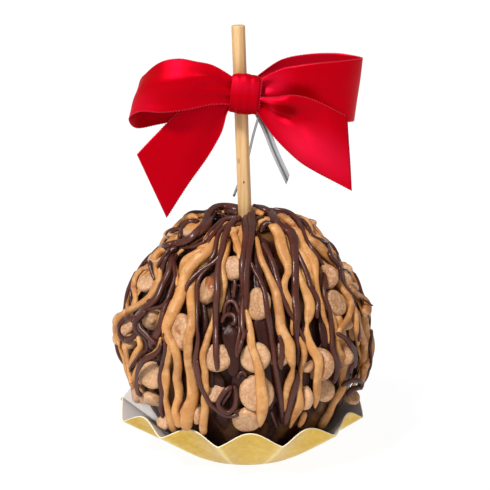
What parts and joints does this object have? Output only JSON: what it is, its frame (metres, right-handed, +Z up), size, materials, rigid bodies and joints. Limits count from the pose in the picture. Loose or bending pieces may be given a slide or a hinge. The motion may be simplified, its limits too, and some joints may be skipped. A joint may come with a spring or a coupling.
{
  "type": "caramel apple on a stick",
  "caption": "Caramel apple on a wooden stick, coated in chips with peanut butter and dark chocolate drizzle, standing in a gold foil cup, with a red satin bow tied to the stick.",
  "frame": {"origin": "centre of the foil cup's flat base, on the surface it stands on", "axes": "+Z up along the apple and its stick, -Y towards the side with the bow's knot, +X to the right seen from there"},
  "size_m": [0.0932, 0.0941, 0.1533],
  "materials": {
    "coated_apple": "satin chocolate and peanut butter coat",
    "birch_stick": "bare pale wood",
    "gold_foil": "satin gold foil on card",
    "red_satin": "satin ribbon",
    "silver_tie": "silver plastic strip with a wire core"
  },
  "bodies": {
    "root": {"apple": "coated_apple", "stick": "birch_stick", "cup": "gold_foil", "bow_loop_left": "red_satin", "bow_loop_right": "red_satin", "bow_tail_left": "red_satin", "bow_tail_right": "red_satin", "bow_knot": "red_satin", "tie": "silver_tie"}
  },
  "joints": []
}
